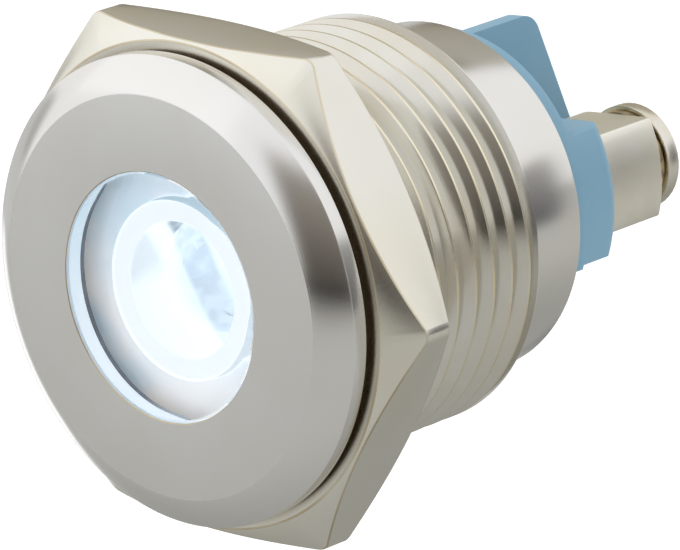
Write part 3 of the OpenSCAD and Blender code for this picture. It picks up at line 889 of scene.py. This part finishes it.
# ---------------------------------------------------------------------------
# Studio: a pale floor under a white room, two soft lamps, and matt cards out
# of the camera's sight that the plated metal reflects.
# ---------------------------------------------------------------------------
def aim(direction):
    """The direction from the lamp to a place in the room, from (degrees round, degrees up)."""
    round_by, up_by = (math.radians(a) for a in direction)
    return Vector((math.sin(round_by) * math.cos(up_by), -math.cos(round_by) * math.cos(up_by),
                   math.sin(up_by)))


def stand(thing, direction, distance):
    """Stands a lamp or card in the room, upright and facing the lamp's middle."""
    away = aim(direction)
    side = Vector((0, 0, 1)).cross(away).normalized()
    turned = Matrix((side, away.cross(side), away)).transposed().to_4x4()
    thing.matrix_world = Matrix.Translation(away * distance) @ turned


def soft_lamp(name, direction, distance, size, power):
    """A square area lamp."""
    light = bpy.data.lights.new(name, "AREA")
    light.shape = "SQUARE"
    light.size = size
    light.energy = power
    lamp = bpy.data.objects.new(name, light)
    bpy.context.scene.collection.objects.link(lamp)
    lamp.visible_glossy = False
    stand(lamp, direction, distance)


def hide_from_room(thing):
    """Leaves a card to be seen in reflections only."""
    thing.visible_camera = False
    thing.visible_diffuse = False
    thing.visible_transmission = False
    thing.visible_shadow = False


def glowing(name):
    """An empty material with an Emission shader of a set tone, and its tree."""
    finish = bpy.data.materials.new(name)
    finish.use_nodes = True
    tree = finish.node_tree
    tree.nodes.remove(tree.nodes["Principled BSDF"])
    return finish, tree, tree.nodes.new("ShaderNodeEmission"), tree.nodes["Material Output"]


def sheet(name, finish, width, height, drop=0.0):
    """A flat sheet of the studio, lying at a depth below the lamp's middle."""
    bm = bmesh.new()
    bmesh.ops.create_grid(bm, x_segments=1, y_segments=1, size=0.5,
                          matrix=Matrix.Translation((0, 0, -drop))
                          @ Matrix.Diagonal((width, height, 1, 1)))
    mesh = bpy.data.meshes.new(name)
    bm.to_mesh(mesh)
    bm.free()
    mesh.materials.append(finish)
    board = bpy.data.objects.new(name, mesh)
    bpy.context.scene.collection.objects.link(board)
    return board


def card(name, direction, distance, spread_by, low_tone, high_tone, soft):
    """A card of (degrees wide, degrees high), graded from low to high and soft at its edges."""
    width, height = (2 * distance * math.tan(math.radians(a / 2)) for a in spread_by)
    finish, tree, light, out = glowing(name)
    x, y, z = axes_of(tree)
    keep = None
    for axis, size, blur in ((x, width, soft[0]), (y, height, soft[1])):
        inside = maths(tree, "SUBTRACT", size / 2, maths(tree, "ABSOLUTE", axis))
        edge = clear_between(tree, inside, 0, distance * math.tan(math.radians(blur)))
        keep = edge if keep is None else maths(tree, "MULTIPLY", keep, edge)
    rise = clear_between(tree, y, -height / 2, height / 2)
    tree.links.new(blend_tones(tree, rise, low_tone, high_tone), light.inputs["Color"])
    clear = tree.nodes.new("ShaderNodeBsdfTransparent")
    mix = tree.nodes.new("ShaderNodeMixShader")
    tree.links.new(keep, mix.inputs["Fac"])
    tree.links.new(clear.outputs[0], mix.inputs[1])
    tree.links.new(light.outputs[0], mix.inputs[2])
    tree.links.new(mix.outputs[0], out.inputs["Surface"])
    board = sheet(name, finish, width, height)
    stand(board, direction, distance)
    hide_from_room(board)


scene = bpy.context.scene
scene.view_settings.view_transform = "Standard"

world = bpy.data.worlds.new("white room")
scene.world = world
world.use_nodes = True
tree = world.node_tree
rays = tree.nodes.new("ShaderNodeLightPath")
seen = maths(tree, "ADD", rays.outputs["Is Camera Ray"], rays.outputs["Is Glossy Ray"])
seen = maths(tree, "ADD", seen, rays.outputs["Is Transmission Ray"])
seen = maths(tree, "MINIMUM", seen, 1.0)
room_light = 0.65
room = tree.nodes["Background"]
room.inputs["Color"].default_value = (1, 1, 1, 1)
feed(tree, room.inputs["Strength"],
     maths(tree, "MULTIPLY_ADD", seen, 1 - room_light, room_light))

floor_finish, floor_shader = new_finish("pale floor", 0.9)
floor_shader.inputs["Base Color"].default_value = (0.9, 0.9, 0.9, 1)
floor_shader.inputs["Specular IOR Level"].default_value = 0.0
tree = floor_finish.node_tree
floor_rays = tree.nodes.new("ShaderNodeLightPath")
lift = tree.nodes.new("ShaderNodeEmission")
tree.links.new(maths(tree, "MULTIPLY", floor_rays.outputs["Is Camera Ray"], 0.25),
               lift.inputs["Strength"])
both = tree.nodes.new("ShaderNodeAddShader")
tree.links.new(floor_shader.outputs[0], both.inputs[0])
tree.links.new(lift.outputs[0], both.inputs[1])
tree.links.new(both.outputs[0], tree.nodes["Material Output"].inputs["Surface"])
floor = sheet("floor", floor_finish, 6.0, 6.0, drop=0.06)
floor.visible_glossy = False

# Grey sheet: the floor as seen in reflections, darker round a point behind and left of the pilot
# lamp as its painted shadow.
grey_drop = 0.3
finish, tree, light, out = glowing("grey sheet")
painted_shadow_spot = tree.nodes.new("ShaderNodeVectorMath")
painted_shadow_spot.operation = "DISTANCE"
tree.links.new(place_of(tree), painted_shadow_spot.inputs[0])
painted_shadow_spot.inputs[1].default_value = (-0.16, 0.22, -grey_drop)
tree.links.new(blend_tones(tree, clear_between(tree, painted_shadow_spot.outputs["Value"], 0.12, 0.6),
                           (0.37, 0.37, 0.35), (0.56, 0.555, 0.53)), light.inputs["Color"])
tree.links.new(light.outputs[0], out.inputs["Surface"])
grey_sheet = sheet("grey sheet", finish, 12.0, 12.0, drop=grey_drop)
hide_from_room(grey_sheet)

soft_lamp("key lamp", (-60, 58), 0.6, 0.5, 1.9)
soft_lamp("fill lamp", (150, 40), 0.7, 0.5, 0.7)
card("bright card", (-47, 38), 0.5, (62, 44), (1.16, 1.16, 1.15), (1.1, 1.1, 1.1), (6, 6))
card("white card", (-124, -18), 0.4, (34, 16), (1.25, 1.25, 1.25), (1.2, 1.2, 1.2), (2, 1))
card("grey card", (-101, 0), 0.5, (36, 22), (0.62, 0.62, 0.61), (0.62, 0.62, 0.61), (4, 3))
card("dark card", (24, 9), 0.5, (54, 56), (0.035, 0.025, 0.02), (0.36, 0.33, 0.29), (13, 15))
card("dark strip", (20, -7.5), 0.45, (40, 7), (0.0, 0.0, 0.0), (0.02, 0.02, 0.02), (8, 2))
card("flag", (-90.5, 6), 0.45, (10, 13), (0.42, 0.42, 0.41), (0.46, 0.45, 0.43), (1.5, 1.5))
card("amber strip", (-157, 37), 0.45, (26, 6), (0.2, 0.15, 0.08), (0.3, 0.24, 0.15), (4, 2))
card("rear card", (136, -1), 0.5, (38, 30), (0.1, 0.1, 0.11), (0.34, 0.33, 0.32), (5, 5))
card("upper rear card", (-147, 26), 0.5, (48, 50), (0.38, 0.35, 0.28), (0.52, 0.5, 0.45), (7, 5))

camera_place = (178.571 * MM, -175.52 * MM, 62.114 * MM)
camera_right = (0.73073, 0.6749, -0.1027)
camera_up = (-0.09137, 0.24578, 0.96501)
camera_back = (0.67652, -0.69578, 0.24127)
camera = bpy.data.cameras.new("camera")
camera.lens = 370.535
camera.sensor_width = 36
camera_mount = bpy.data.objects.new("camera", camera)
scene.collection.objects.link(camera_mount)
turned = Matrix((camera_right, camera_up, camera_back)).transposed().to_4x4()
camera_mount.matrix_world = Matrix.Translation(camera_place) @ turned
scene.camera = camera_mount
